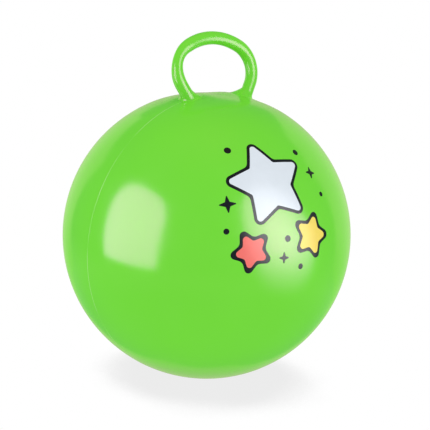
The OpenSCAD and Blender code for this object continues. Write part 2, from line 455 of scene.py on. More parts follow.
def make_piece(name, points, faces, finish, seam=None, normals=None):
    """A smooth piece. seam marks each point from 0, plain, to 1, on the moulding seam. normals shade it."""
    piece = new_object(name, points, faces, finish)
    mesh = piece.data
    work = bmesh.new()
    work.from_mesh(mesh)
    bmesh.ops.recalc_face_normals(work, faces=work.faces)
    work.to_mesh(mesh)
    work.free()
    mesh.shade_smooth()
    if seam is not None:
        mesh.attributes.new("seam", "FLOAT", "POINT").data.foreach_set("value", np.array(seam, np.float32))
    if normals is not None:
        mesh.normals_split_custom_set_from_vertices([tuple(n) for n in normals])
    return piece


# Finishes

# Places of the factor and of both colours among a mix's inputs, and of its colour among its outputs
MIX_INPUTS = (0, 6, 7)
MIX_OUTPUT = 2


def new_finish(name):
    """An empty node material, its tree and its shader."""
    finish = bpy.data.materials.new(name)
    finish.use_nodes = True
    return finish, finish.node_tree, finish.node_tree.nodes["Principled BSDF"]


def set_socket(tree, socket, value):
    """Links or sets one input of a node."""
    if isinstance(value, bpy.types.NodeSocket):
        tree.links.new(value, socket)
    else:
        socket.default_value = value


def add_node(tree, kind, **inputs):
    """A node with some of its inputs set or linked."""
    node = tree.nodes.new(kind)
    for name, value in inputs.items():
        set_socket(tree, node.inputs[name.replace("_", " ")], value)
    return node


def worked(tree, operation, *values, vector=False):
    """The outcome of a sum on sockets, numbers or vectors."""
    node = tree.nodes.new("ShaderNodeVectorMath" if vector else "ShaderNodeMath")
    node.operation = operation
    for socket, value in zip(node.inputs, values):
        set_socket(tree, socket, value)
    return next(socket for socket in node.outputs if socket.enabled)


def own_coords(tree):
    """Coordinates of the object itself."""
    return tree.nodes.new("ShaderNodeTexCoord").outputs["Object"]


def grain(tree, scale, detail=2.0):
    """A noise in the piece's own coordinates, in grains per metre."""
    noise = add_node(tree, "ShaderNodeTexNoise", Vector=own_coords(tree), Scale=scale, Detail=detail)
    return noise.outputs["Fac"]


def spread(tree, value, low, high, from_low=0.3, from_high=0.7):
    """A value, such as a noise's, spread smoothly over a range."""
    ends = {"From_Min": from_low, "From_Max": from_high, "To_Min": low, "To_Max": high}
    node = add_node(tree, "ShaderNodeMapRange", Value=value, **ends)
    node.interpolation_type = "SMOOTHSTEP"
    return node.outputs["Result"]


def tinted(tree, factor, first, second):
    """A mix of two colours."""
    node = tree.nodes.new("ShaderNodeMix")
    node.data_type = "RGBA"
    for k, value in zip(MIX_INPUTS, (factor, first, second)):
        set_socket(tree, node.inputs[k], value)
    return node.outputs[MIX_OUTPUT]


def shade(rgb, factor=1.0):
    """A colour made lighter or darker, as a socket takes it."""
    return (*(min(1.0, c * factor) for c in rgb), 1.0)


def textured(name, rgb, clouds, tint, polish, roughness, skin, skin_depth):
    """A clouded, unevenly polished node material with a fine skin. Its tree, shader and colour come with it.

    clouds and polish are a noise's grains per metre and its detail, tint and roughness are ranges, and skin
    is the grains per metre of the bump.
    """
    finish, tree, shader = new_finish(name)
    colour_out = tinted(tree, grain(tree, *clouds), *(shade(rgb, factor) for factor in tint))
    tree.links.new(colour_out, shader.inputs["Base Color"])
    tree.links.new(spread(tree, grain(tree, *polish), *roughness), shader.inputs["Roughness"])
    bump = add_node(tree, "ShaderNodeBump", Strength=1.0, Distance=skin_depth, Height=grain(tree, skin))
    tree.links.new(bump.outputs["Normal"], shader.inputs["Normal"])
    return finish, tree, shader, colour_out


def green_vinyl():
    """Glossy soft vinyl: faintly clouded, with a fine skin and a painted highlight of paler green along the
    seam.
    """
    colours = settings().finish
    gloss, uneven = colours.vinyl_gloss, 0.02
    finish, tree, shader, clouded = textured(
        "green_vinyl", colours.vinyl, clouds=(7, 2), tint=(0.97, 1.03), polish=(24, 4),
        roughness=(gloss - uneven, gloss + uneven), skin=1500, skin_depth=0.000003,
    )
    # Painted highlight on the seam: paler green mixed in where the seam mark is, broken up by a noise
    seam = add_node(tree, "ShaderNodeAttribute")
    seam.attribute_name = "seam"
    seam_glint_breaks = spread(tree, grain(tree, scale=16), low=0.1, high=1.0, from_low=0.38, from_high=0.62)
    highlit = worked(tree, "MULTIPLY", seam.outputs["Fac"], seam_glint_breaks)
    tree.links.new(tinted(tree, highlit, clouded, shade(colours.seam)), shader.inputs["Base Color"])
    shader.inputs["IOR"].default_value = 1.5
    shader.inputs["Specular Tint"].default_value = shade(colours.sheen)
    return finish


def white_stopper():
    """Satin white plastic with a faint mould grain."""
    return textured(
        "white_stopper", settings().finish.stopper, clouds=(260, 2), tint=(0.97, 1.02), polish=(900, 2),
        roughness=(0.36, 0.46), skin=3000, skin_depth=0.00001,
    )[0]


def print_ink(name, rgb):
    """Glossy ink, laid a little unevenly on the vinyl."""
    finish, _, shader, _ = textured(
        name, rgb, clouds=(60, 3), tint=(0.96, 1.04), polish=(90, 3),
        roughness=(0.20, 0.26), skin=1500, skin_depth=0.000003,
    )
    shader.inputs["Specular IOR Level"].default_value = 0.25
    return finish


# The blown skin

# Steps of the hole's rounded edge, and rows across the seam, over how many of its half widths to either side
EDGE_STEPS = 5
SEAM_ROWS = 17
SEAM_SPAN = 2


def settled(points, floor_z=0):
    """Points of the skin, flat on top, drawn up behind the handle's feet and pressed flat on the ground."""
    sizes = settings().ball
    x, y, z = np.array(points).T
    rise = sizes.rise_h * bell(np.hypot(abs(x) - sizes.rise_x, y - sizes.rise_y) / (sizes.rise_d / 2))
    dip = sizes.dip_depth * bell(np.hypot(x, y) / (sizes.dip_d / 2))
    z = z + np.where(z > BALL_MIDDLE[2], rise - dip, 0)
    over = z - floor_z
    z = floor_z + (over + np.sqrt(over**2 + sizes.press_ease**2)) / 2
    return np.column_stack((x, y, z))


def skin_ring(tilt, radius, steps, floor_z):
    """A ring of the skin at an angle from the valve's axis."""
    ring = turned([(radius * math.sin(tilt), radius * math.cos(tilt))], steps)[0]
    return settled(ring, floor_z)


def build_skin():
    """The hollow ball, from the hole for the valve to the printed front and back inside."""
    sizes = settings().ball
    hole_tilt = math.asin(sizes.hole_d / 2 / BALL_R)
    seam_tilt = sizes.seam_w / 2 / BALL_R
    inner_r = BALL_R - sizes.skin_t
    even = np.linspace(hole_tilt, math.pi, sizes.steps_down, endpoint=False)[1:]
    seam_rows = math.pi / 2 + np.linspace(-SEAM_SPAN, SEAM_SPAN, SEAM_ROWS) * seam_tilt
    plain = even[abs(even - math.pi / 2) > SEAM_SPAN * seam_tilt]
    # The inner side runs from the front back to the hole, on every second row
    rows = [(tilt, inner_r, sizes.skin_t, 0.0) for tilt in (*even[::-2], hole_tilt)]
    for turn in np.linspace(0, math.pi / 2, EDGE_STEPS):
        tilt = hole_tilt + sizes.hole_edge_r * (1 - math.cos(turn)) / BALL_R
        rows.append((tilt, BALL_R - sizes.hole_edge_r * (1 - math.sin(turn)), 0, 0.0))
    for tilt in np.sort(np.concatenate((plain, seam_rows))):
        ridge = float(bell((tilt - math.pi / 2) / seam_tilt))
        rows.append((tilt, BALL_R + sizes.seam_h * ridge, 0, ridge))
    rings = [skin_ring(tilt, radius, sizes.steps_round, floor_z) for tilt, radius, floor_z, _ in rows]
    front = np.array((0.0, -1.0, 0.0))
    points, faces = ringed(rings, BALL_MIDDLE + inner_r * front, BALL_MIDDLE + BALL_R * front)
    marks = [*np.repeat([ridge for *_, ridge in rows], sizes.steps_round), 0.0, 0.0]
    skin = make_piece("blown_ball", points, faces, green_vinyl(), marks)
    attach(skin, "ball")
    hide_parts("ball_skin")


# The ring handle

# Rings of a root's closed floor, as shares of the way to its rim, and rings of its flare
FLOOR_SHARES = (0.25, 0.5, 0.75, 1.0)
FLARE_STEPS = 14

# How sharply a flare widens towards its widest side
FLARE_POWER = 1.5

# Extra points on a parting line, by shares of its width, and the digits that tell angles apart
SEAM_STOPS = (-1, -0.5, 0.5, 1)
ANGLE_DIGITS = 9


class HandleLines:
    """Lines of a right half of the handle, from its foot on the ball to the middle of the loop."""

    def __init__(self, sizes):
        self.sizes = sizes
        slant, lean, half = sizes.leg_slant, sizes.lean, sizes.top_half_angle
        leg = sizes.root_l + sizes.leg_l
        self.shoulder = np.array((
            (sizes.top_r - sizes.shoulder_r) * math.sin(half),
            leg * math.cos(slant) + sizes.shoulder_r * math.sin(slant),
        ))
        self.top = np.array((0.0, self.shoulder[1] - (sizes.top_r - sizes.shoulder_r) * math.cos(half)))
        foot_x = self.shoulder[0] + sizes.shoulder_r * math.cos(slant) - leg * math.sin(slant)
        self.foot = np.array((foot_x, 0.0, math.sqrt(BALL_R**2 - foot_x**2)))
        self.up = np.array((0.0, math.sin(lean), math.cos(lean)))
        self.front = np.array((0.0, -math.cos(lean), math.sin(lean)))
        self.leg_way = np.array((math.sin(slant), math.cos(slant)))
        self.leg_out = np.array((math.cos(slant), -math.sin(slant)))

    def lifted_way(self, flat):
        """A direction in the loop's plane, as a direction in space."""
        return np.array((flat[0], 0.0, 0.0)) + flat[1] * self.up

    def feet_line(self, height):
        """A point of the loop's plane over the middle of the line of the feet."""
        return BALL_MIDDLE + np.array((0.0, 0.0, self.foot[2])) + height * self.up

    def spokes(self, out, turns):
        """Directions round the tube, turned from its outward way in the loop's plane to the front."""
        return np.outer(np.cos(turns), self.lifted_way(out)) + np.outer(np.sin(turns), self.front)

    def spine(self):
        """Middles of the tube in the loop's plane, from the leg to the top, each with its outward way."""
        sizes = self.sizes
        half = sizes.top_half_angle
        stops = []
        for way in np.arange(0, sizes.leg_l, sizes.step_l):
            stops.append((self.foot[:2] + (sizes.root_l + way) * self.leg_way, self.leg_out))
        for middle, radius, first, last in (
            (self.shoulder, sizes.shoulder_r, -sizes.leg_slant, math.pi / 2 - half),
            (self.top, sizes.top_r, math.pi / 2 - half, math.pi / 2),
        ):
            steps = math.ceil(radius * (last - first) / sizes.step_l)
            for turn in np.linspace(first, last, steps, endpoint=radius == sizes.top_r):
                out = np.array((math.cos(turn), math.sin(turn)))
                stops.append((middle + radius * out, out))
        return stops


def tube_radius(sizes, leg_d, waist, way):
    """Radius of the tube on the way from the leg, 0, past the side of the loop to its top, 1."""
    past_side = (way - sizes.waist_at) / sizes.waist_reach
    widened = min(max((past_side + 1) / 2, 0), 1)
    return (leg_d + (sizes.top_d - leg_d) * widened**2 * (3 - 2 * widened) - waist * bell(past_side)) / 2


def tube_turns(sizes):
    """Angles round the tube, with extra ones on its two parting lines, and the seam mark of each."""
    seam_turn = sizes.seam_w / sizes.top_d
    extra = [side + k * seam_turn for side in (0, math.pi) for k in SEAM_STOPS]
    turns = np.concatenate((circle_turns(sizes.steps_round), np.mod(extra, 2 * math.pi)))
    turns = np.unique(np.round(turns, ANGLE_DIGITS))
    past_seam = np.mod(turns, math.pi)
    return turns, bell(np.minimum(past_seam, math.pi - past_seam) / seam_turn)


def root_rings(lines, leg_r, turns, seam):
    """Rings of a root, from its closed floor to its rim and up its flare to the leg, with its seam marks."""
    sizes = lines.sizes
    spokes = lines.spokes(lines.leg_out, turns)
    leg_dir = lines.lifted_way(lines.leg_way)
    foot_way = unit(lines.foot)
    along_ball = unit(spokes - np.outer(spokes @ foot_way, foot_way))
    wide = (1 + np.cos(turns - sizes.wide_turn)) / 2
    reach = sizes.narrow_reach + (sizes.wide_reach - sizes.narrow_reach) * wide**FLARE_POWER
    leg_hold = (sizes.narrow_hold + (sizes.wide_hold - sizes.narrow_hold) * wide)[:, None]
    floor_dirs = [unit(lines.foot + way * (leg_r + reach)[:, None] * along_ball) for way in FLOOR_SHARES]
    rings = [settled(BALL_MIDDLE + (BALL_R - sizes.floor_sink) * dirs) for dirs in floor_dirs]
    marks = [np.zeros(len(turns)) for _ in rings]
    rim_dirs = floor_dirs[-1]
    rim = (BALL_R - sizes.rim_sink) * rim_dirs
    top = lines.foot + sizes.root_l * leg_dir + (leg_r + sizes.seam_h * seam)[:, None] * spokes
    slope = np.linalg.norm(top - rim, axis=1, keepdims=True)
    rim_tangent = unit(spokes - np.sum(spokes * rim_dirs, axis=1, keepdims=True) * rim_dirs)
    poles = (rim, rim - sizes.rim_hold * slope * rim_tangent, top - leg_hold * slope * leg_dir, top)
    for k in range(FLARE_STEPS):
        way = k / FLARE_STEPS
        weights = ((1 - way) ** 3, 3 * way * (1 - way) ** 2, 3 * way**2 * (1 - way), way**3)
        ring = BALL_MIDDLE + sum(weight * pole for weight, pole in zip(weights, poles))
        sunk = settled(ring)
        rings.append(sunk + (ring - sunk) * way)
        marks.append(seam * way)
    return rings, marks


def handle_half(lines, leg_d, waist):
    """Rings of a right half of the handle, from the middle of its floor to the top, with its seam marks."""
    sizes = lines.sizes
    turns, seam = tube_turns(sizes)
    rings, marks = root_rings(lines, leg_d / 2, turns, seam)
    spine = lines.spine()
    for k, (flat, out) in enumerate(spine):
        middle = lines.feet_line(flat[1]) + np.array((flat[0], 0.0, 0.0))
        radius = tube_radius(sizes, leg_d, waist, k / (len(spine) - 1)) + sizes.seam_h * seam
        rings.append(middle + radius[:, None] * lines.spokes(out, turns))
        marks.append(seam)
    floor_middle = settled([BALL_MIDDLE + (BALL_R - sizes.floor_sink) * unit(lines.foot)])[0]
    return floor_middle, rings, marks


def build_handle():
    """The loop and both flared roots as one soft moulding on the ball."""
    sizes = settings().handle
    lines = HandleLines(sizes)
    floor_middle, right, marks = handle_half(lines, sizes.right_leg_d, 0)
    _, like_left, _ = handle_half(lines, sizes.left_leg_d, sizes.left_waist)
    mirror = np.array((-1.0, 1.0, 1.0))
    left = [ring * mirror for ring in like_left[-2::-1]]
    points, faces = ringed([*right, *left], floor_middle, floor_middle * mirror)
    seam = [*np.concatenate([*marks, *marks[-2::-1]]), 0.0, 0.0]
    handle = make_piece("ring_handle", points, faces, green_vinyl(), seam)
    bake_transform(handle)
    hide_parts("handle_loop", "handle_root_left", "handle_root_right")


# The valve


def on_ball(radius, ball_r=BALL_R):
    """Way out along the valve's axis to a ball of radius ball_r, at a radius from that axis."""
    return math.sqrt(ball_r**2 - radius**2)


def build_valve():
    """The filling neck: bore, dished seat, raised bead, pad, welding lip and tube."""
    sizes = settings().valve
    bore_r = sizes.bore_d / 2
    neck_r = bore_r + sizes.neck_t
    neck_end = SLEEVE_LO.y
    lip_r = (SLEEVE_HI.x - SLEEVE_LO.x) / 2
    pad_r = sizes.pad_d / 2
    seat = BALL_R - sizes.seat_depth
    pad_back = BALL_R - sizes.pad_t
    foot_r = (PLUG_HI.x - PLUG_LO.x) / 2 + sizes.head_gap
    mouth_r = foot_r + sizes.dish_w
    bead_r = mouth_r + sizes.bead_w
    bead_foot_r = bead_r + sizes.bead_h
    lip_ball_r = BALL_R - settings().ball.skin_t - sizes.weld_gap
    corners = [
        (bore_r, neck_end),
        (bore_r, seat),
        (foot_r, seat),
        (mouth_r, on_ball(mouth_r) + sizes.bead_h),
        (bead_r, on_ball(bead_r) + sizes.bead_h),
        (bead_foot_r, on_ball(bead_foot_r)),
        (pad_r, on_ball(pad_r)),
        (pad_r, on_ball(pad_r, lip_ball_r)),
        (lip_r, on_ball(lip_r, lip_ball_r)),
        (lip_r, pad_back),
        (neck_r, pad_back),
        (neck_r, neck_end),
    ]
    outline = rounded(corners, sizes.edge_r)
    points, faces = ringed(turned(outline, sizes.steps_round))
    neck = make_piece("filling_neck", points, faces, green_vinyl())
    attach(neck, "ball")
    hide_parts("valve_sleeve")


# The plug


def plug_corners(sizes, head_r, base):
    """Corners of the plug's outline from the tip's end to the middle of its head, and their roundings."""
    rib_r = sizes.rib_d / 2
    core_r = rib_r - sizes.rib_h
    tip = base - sizes.stem_l
    top = base + sizes.head_t
    groove_r = sizes.groove_d / 2
    groove_foot = top - sizes.groove_depth
    gate_r = sizes.gate_d / 2
    pitch = (sizes.stem_l - sizes.tip_l) / sizes.rib_count
    rib_slope = sizes.rib_w / 3
    stem = [(0, tip), (sizes.tip_d / 2, tip), (core_r, tip + sizes.tip_l)]
    for i in range(sizes.rib_count, 0, -1):
        foot = base - i * pitch
        if i < sizes.rib_count:
            stem.append((core_r, foot))
        stem += [(rib_r, foot + rib_slope), (rib_r, foot + sizes.rib_w), (core_r, foot + sizes.rib_w)]
    stem.append((core_r, base))
    head = [
        (head_r, base),
        (head_r, top),
        (groove_r + sizes.groove_w / 2, top),
        (groove_r, groove_foot),
        (groove_r - sizes.groove_w / 2, top),
        (gate_r, top),
        (gate_r, top + sizes.gate_h),
        (0, top + sizes.gate_h),
    ]
    radii = [sizes.edge_r] * len(stem + head)
    radii[len(stem) + 1] = sizes.head_edge_r
    return stem + head, radii


def build_plug():
    """The stopper: ribbed stem, rounded head with a ring groove, a gate mark and a nick for a finger nail."""
    sizes = settings().plug
    head_r = (PLUG_HI.x - PLUG_LO.x) / 2
    base = PLUG_HI.y - sizes.head_t
    corners, radii = plug_corners(sizes, head_r, base)
    outline = rounded(corners, radii, closed=False)

    def nick(radius, out, turn):
        in_head = radius > head_r - sizes.nick_depth and out >= base
        off = np.minimum(turn, 2 * math.pi - turn) * head_r
        return sizes.nick_depth * bell(off / (sizes.nick_w / 2)) * in_head

    rings = turned(outline[1:-1], sizes.steps_round, nick)
    ends = [BALL_MIDDLE + np.array((0.0, outline[k][1], 0.0)) for k in (0, -1)]
    points, faces = ringed(rings, *ends)
    plug = make_piece("stopper", points, faces, white_stopper())
    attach(plug, "plug")
    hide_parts("valve_plug")


# The print

# Tips of the stars and of the sparkles, and the rounding of a sparkle's corners as a share of a star's
STAR_TIPS = 5
SPARKLE_TIPS = 4
SPARKLE_ROUNDING = 0.2

# Middles of the sparkles and of the dots on the print, and their sizes as shares of the largest
SPARKLES = (
    ((-0.076, 0.006), 1.0),
    ((0.078, 0.052), 0.8),
    ((0.008, -0.078), 0.7),
)
DOTS = (
    ((-0.058, 0.092), 1.0),
    ((-0.082, -0.034), 0.8),
    ((0.014, -0.050), 0.9),
    ((0.092, 0.018), 0.7),
    ((0.060, 0.086), 0.9),
    ((0.040, -0.092), 0.8),
)
DOT_STEPS = 32

# Share of a layer's height that its film fills, and the least distance between two points of a film
FILM_SHARE = 0.9
POINT_GAP = 1e-7


def star(tips, tip_r, notch_share):
    """Corners of a star about its own middle, with a tip upwards."""
    corners = []
    for i in range(2 * tips):
        turn = math.pi / 2 + i * math.pi / tips
        radius = tip_r * (notch_share if i % 2 else 1)
        corners.append(np.array((radius * math.cos(turn), radius * math.sin(turn))))
    return corners


def grown(corners, by):
    """Corners of an outline whose sides have all moved outwards."""
    moved = []
    for i, corner in enumerate(corners):
        sides = (corner - corners[i - 1], corners[(i + 1) % len(corners)] - corner)
        out_a, out_b = (unit(np.array((side[1], -side[0]))) for side in sides)
        moved.append(corner + by * (out_a + out_b) / (1 + out_a @ out_b))
    return moved


def put(outline, at, turn=0.0):
    """An outline turned about its middle and moved to its place on the print."""
    across = np.array((math.cos(turn), math.sin(turn)))
    up = np.array((-math.sin(turn), math.cos(turn)))
    return [p[0] * across + p[1] * up + np.array(at) for p in outline]


def sides_of(outline):
    """Both ends of each side of a closed outline."""
    return zip(outline, [*outline[1:], outline[0]])


def stepped(outline, step):
    """An outline with points added along its long sides."""
    points = []
    for a, b in sides_of(outline):
        parts = max(1, math.ceil(np.linalg.norm(b - a) / step))
        points += [a + (b - a) * k / parts for k in range(parts)]
    return points


def inside(points, outline):
    """Which points lie inside an outline."""
    x, y = points.T
    found = np.zeros(len(points), bool)
    for a, b in sides_of(outline):
        if a[1] != b[1]:
            crosses = (a[1] > y) != (b[1] > y)
            found ^= crosses & (x < (b[0] - a[0]) * (y - a[1]) / (b[1] - a[1]) + a[0])
    return found


def from_outline(points, outline):
    """Distance of points from the nearest point of an outline."""
    edge = np.array(outline)
    return np.min(np.linalg.norm(points[:, None] - edge[None], axis=2), axis=1)


def wrapped(flat, rise):
    """Flat points of the print laid on the ball, at a height over its surface."""
    sizes = settings().print
    out = pointing(sizes.azimuth, sizes.elevation)
    right = np.array((math.cos(sizes.azimuth), math.sin(sizes.azimuth), 0.0))
    up = np.cross(out, right)
    flat = np.array(flat)
    way = np.linalg.norm(flat, axis=1, keepdims=True)
    tilt = way / BALL_R
    across = (flat[:, :1] * right + flat[:, 1:] * up) / np.maximum(way, POINT_GAP)
    dirs = np.cos(tilt) * out + np.sin(tilt) * across
    return BALL_MIDDLE + (BALL_R + rise) * dirs, dirs


def film(outline, low, high):
    """Points, faces and normals of one closed film of ink over an outline."""
    step = settings().print.mesh_step
    outline = stepped(outline, step / 2)
    edge = np.array(outline)
    lo, hi = edge.min(0), edge.max(0)
    grid = np.array([
        (x + (j % 2) * step / 2, y)
        for j, y in enumerate(np.arange(lo[1], hi[1], step * math.sqrt(3) / 2))
        for x in np.arange(lo[0], hi[0], step)
    ])
    grid = grid[inside(grid, outline) & (from_outline(grid, outline) > step / 2)]
    flat = [Vector(p) for p in (*edge, *grid)]
    flat, _, triangles, *_ = delaunay_2d_cdt(flat, [], [list(range(len(edge)))], 1, POINT_GAP)
    below = len(flat)
    top, dirs = wrapped([tuple(p) for p in flat], high)
    base, _ = wrapped([tuple(p) for p in flat], low)
    sides = {side for face in triangles for side in sides_of(face)}
    faces = [tuple(face) for face in triangles]
    faces += [tuple(below + i for i in reversed(face)) for face in triangles]
    faces += [(b, a, below + a, below + b) for a, b in sides if (b, a) not in sides]
    return [*top, *base], faces, [*dirs, *-dirs]


def print_layer(name, outlines, layer, rgb):
    """All shapes of one ink as one piece on the ball."""
    ink_t = settings().print.ink_t
    points, faces, normals = [], [], []
    for outline in outlines:
        film_points, film_faces, film_normals = film(outline, ink_t * (layer - FILM_SHARE), ink_t * layer)
        faces += [tuple(len(points) + i for i in face) for face in film_faces]
        points += film_points
        normals += film_normals
    ink = make_piece(name, points, faces, print_ink(name, rgb), normals=normals)
    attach(ink, "ball")


def build_print():
    """Three outlined stars with sparkles and dots, in four inks."""
    sizes = settings().print
    colours = settings().finish
    black = []
    for ink in ("white", "yellow", "coral"):
        at, tip_r, turn = (getattr(sizes, f"{ink}_{what}") for what in ("at", "r", "turn"))
        corners = star(STAR_TIPS, tip_r, sizes.notch)
        edge = rounded(grown(corners, sizes.outline_w), sizes.corner_r + sizes.outline_w)
        black.append(put(edge, at, turn))
        fill = put(rounded(corners, sizes.corner_r), at, turn)
        print_layer(f"print_{ink}", [fill], layer=2, rgb=getattr(colours, ink))
    for at, size in SPARKLES:
        corners = star(SPARKLE_TIPS, sizes.sparkle_r * size, sizes.sparkle_notch)
        black.append(put(rounded(corners, SPARKLE_ROUNDING * sizes.corner_r), at))
    black += [put(circle(sizes.dot_d * size, DOT_STEPS), at) for at, size in DOTS]
    print_layer("print_black", black, layer=1, rgb=colours.black)


# The studio

# Light of the room in the gloss, by degrees over the horizon
ROOM_LIGHT = (
    (-90, (0.20, 0.45, 0.20)),
    (-36, (0.21, 0.48, 0.22)),
    (-24, (0.38, 0.72, 0.34)),
    (-12, (0.18, 0.42, 0.20)),
    (35, (0.18, 0.40, 0.19)),
    (60, (0.30, 0.36, 0.18)),
    (90, (0.66, 0.60, 0.24)),
)

# Share of open sky over the floor in the ball's full shadow and out of it, and the rays that find it
FULL_SHADOW = 0.40
NO_SHADOW = 0.51
SHADOW_RAYS = 16

# Cosine of the angle from the middle of a dimmer part at which the surroundings start to dim
SKY_FROM = 0.3

# Shares of the wall's left reach between which its light changes from its middle's to its ends'
WALL_PLAIN = 0.1
WALL_CHANGED = 0.6

# How far the step in the wall's edge slopes to either side, as a share of its place
WALL_SLOPE = 0.1

# Widths of the round light's soft rim over which it comes up
RIM_WIDTHS = 2.0


def stage_mesh(name, points, faces, material, gloss_only=False):
    """A mesh that isn't part of the object. gloss_only is seen in reflections and by nothing else."""
    thing = new_object(name, points, faces, material)
    if gloss_only:
        thing.visible_camera = False
        thing.visible_diffuse = False
        thing.visible_transmission = False
        thing.visible_shadow = False
    return thing


def glow(name, is_light=False):
    """A material that only shines, its tree and its shader. Rays are aimed at lights, not at other glows."""
    material = bpy.data.materials.new(name)
    material.use_nodes = True
    material.cycles.emission_sampling = "AUTO" if is_light else "NONE"
    tree = material.node_tree
    tree.nodes.remove(tree.nodes["Principled BSDF"])
    shine = add_node(tree, "ShaderNodeEmission", Strength=1.0)
    tree.links.new(shine.outputs["Emission"], tree.nodes["Material Output"].inputs["Surface"])
    return material, tree, shine


def cleared(tree, shine, kind):
    """A node that adds a glow to clear air or mixes the two, as the material's new surface."""
    joined = tree.nodes.new(kind)
    clear = tree.nodes.new("ShaderNodeBsdfTransparent")
    for socket, shader in zip(list(joined.inputs)[-2:], (shine, clear)):
        tree.links.new(shader.outputs[0], socket)
    tree.links.new(joined.outputs["Shader"], tree.nodes["Material Output"].inputs["Surface"])
    return joined


def pale_floor():
    """White floor that greys softly under the ball. It is clear from below."""
    studio = settings().studio
    material, tree, shine = glow("pale_floor")
    lean = add_node(tree, "ShaderNodeCombineXYZ", **dict(zip("XYZ", studio.shadow_from))).outputs["Vector"]
    nearby = add_node(tree, "ShaderNodeAmbientOcclusion", Distance=studio.shadow_reach, Normal=lean)
    nearby.samples = SHADOW_RAYS
    shadow = spread(tree, nearby.outputs["AO"], studio.shadow, 1.0, FULL_SHADOW, NO_SHADOW)
    tree.links.new(shadow, shine.inputs["Strength"])
    one_sided = cleared(tree, shine, "ShaderNodeMixShader")
    side = tree.nodes.new("ShaderNodeNewGeometry")
    tree.links.new(side.outputs["Backfacing"], one_sided.inputs["Fac"])
    return material


def set_floor():
    """The round floor. The gloss shows the dim room in its place."""
    rim = [(*spot, 0.0) for spot in circle(2 * settings().studio.floor_r, CIRCLE_STEPS)]
    floor = stage_mesh("floor", rim, [tuple(range(len(rim)))], pale_floor())
    floor.visible_glossy = False


def set_sky():
    """White surroundings, dimmer in front of the ball and dimmest behind it. The camera sees plain white."""
    studio = settings().studio
    world = bpy.data.worlds.new("white_surroundings")
    world.use_nodes = True
    world.cycles.sampling_method = "NONE"
    tree = world.node_tree
    way = tree.nodes.new("ShaderNodeTexCoord").outputs["Generated"]
    levels = []
    for middle, dimmed in (
        (pointing(studio.azimuth + math.pi, studio.sky_back_rise), studio.sky_back),
        (pointing(studio.azimuth, 0), studio.sky_front),
    ):
        near = worked(tree, "DOT_PRODUCT", way, tuple(middle), vector=True)
        levels.append(spread(tree, near, studio.sky, dimmed, SKY_FROM, 1.0))
    level = worked(tree, "MINIMUM", *levels)
    seen = tree.nodes.new("ShaderNodeLightPath").outputs["Is Camera Ray"]
    back = tree.nodes["Background"]
    back.inputs["Color"].default_value = (1, 1, 1, 1)
    tree.links.new(worked(tree, "MAXIMUM", level, seen), back.inputs["Strength"])
    bpy.context.scene.world = world


def set_room():
    """A dim room round the ball, seen only in its gloss."""
    studio = settings().studio
    material, tree, shine = glow("dim_room")
    way = worked(tree, "NORMALIZE", own_coords(tree), vector=True)
    height = add_node(tree, "ShaderNodeSeparateXYZ", Vector=way).outputs["Z"]
    rise = worked(tree, "MULTIPLY_ADD", worked(tree, "ARCSINE", height), 1 / math.pi, 0.5)
    ramp = add_node(tree, "ShaderNodeValToRGB", Fac=rise)
    stops = ramp.color_ramp.elements
    for degrees, _ in ROOM_LIGHT[1:-1]:
        stops.new(degrees / 180 + 0.5)
    for stop, (_, light) in zip(stops, ROOM_LIGHT):
        stop.color = shade(light)
    tree.links.new(ramp.outputs["Color"], shine.inputs["Color"])
    ball = bmesh.new()
    bmesh.ops.create_uvsphere(ball, u_segments=48, v_segments=24, radius=studio.room_r)
    room = stage_mesh("room", [], [], material, gloss_only=True)
    ball.to_mesh(room.data)
    ball.free()
    room.location = BALL_MIDDLE


def set_panel(name, outline, material, turn, shift, distance, height):
    """An upright panel that faces the ball, turned from the camera and seen only in the gloss."""
    points = [(p[0], 0.0, p[1]) for p in outline]
    panel = stage_mesh(name, points, [tuple(range(len(points)))], material, gloss_only=True)
    around = Matrix.Rotation(settings().studio.azimuth + turn, 4, "Z")
    panel.matrix_world = around @ Matrix.Translation((shift, -distance, height))
    return panel


def set_wall():
    """The pale wall behind the ball, lower in its middle and drawn out to a strip below."""
    studio = settings().studio
    left, right, strip, step = studio.wall_left, -studio.wall_right, studio.strip_w / 2, studio.wall_step
    low, strip_low, middle_high = studio.wall_low, studio.strip_low, studio.wall_middle_high
    corners = [
        (-strip, strip_low),
        (strip, strip_low),
        (strip, low),
        (left, low),
        (left, 0),
        (studio.wall_left_top, studio.wall_left_high),
        ((1 + WALL_SLOPE) * step, studio.wall_left_high),
        ((1 - WALL_SLOPE) * step, middle_high),
        (-step / 2, middle_high),
        (right / 2, studio.wall_right_high),
        (right, studio.wall_right_high),
        (right, low),
        (-strip, low),
    ]
    material, tree, shine = glow("pale_wall")
    spot = add_node(tree, "ShaderNodeSeparateXYZ", Vector=own_coords(tree)).outputs
    to_end = worked(tree, "ABSOLUTE", spot["X"])
    to_end = spread(tree, to_end, 0.0, 1.0, WALL_PLAIN * left, WALL_CHANGED * left)
    to_top = spread(tree, spot["Z"], 0.0, 1.0, low, -low / 2)
    ends = tinted(tree, to_top, shade(studio.wall_foot), shade(studio.wall_ends))
    tree.links.new(tinted(tree, to_end, shade(studio.wall), ends), shine.inputs["Color"])
    set_panel("wall", corners, material, math.pi, 0.0, studio.wall_distance, 0.0)


def facing_skin(tree):
    """1 where the skin that shows a light faces it, falling to 0 where the skin turns away from it.

    The way from the skin to the light and the light's distance from the ball's middle tell how it faces.
    """
    studio = settings().studio
    way = tree.nodes.new("ShaderNodeLightPath").outputs["Ray Length"]
    spot = tree.nodes.new("ShaderNodeNewGeometry").outputs["Position"]
    out = worked(tree, "SUBTRACT", spot, tuple(BALL_MIDDLE), vector=True)
    gain = worked(tree, "SUBTRACT", worked(tree, "DOT_PRODUCT", out, out, vector=True), BALL_R**2)
    rest = worked(tree, "SUBTRACT", worked(tree, "DIVIDE", gain, way), way)
    facing = worked(tree, "DIVIDE", rest, 2 * BALL_R)
    return spread(tree, facing, 0.0, 1.0, studio.facing_from, studio.facing_to)


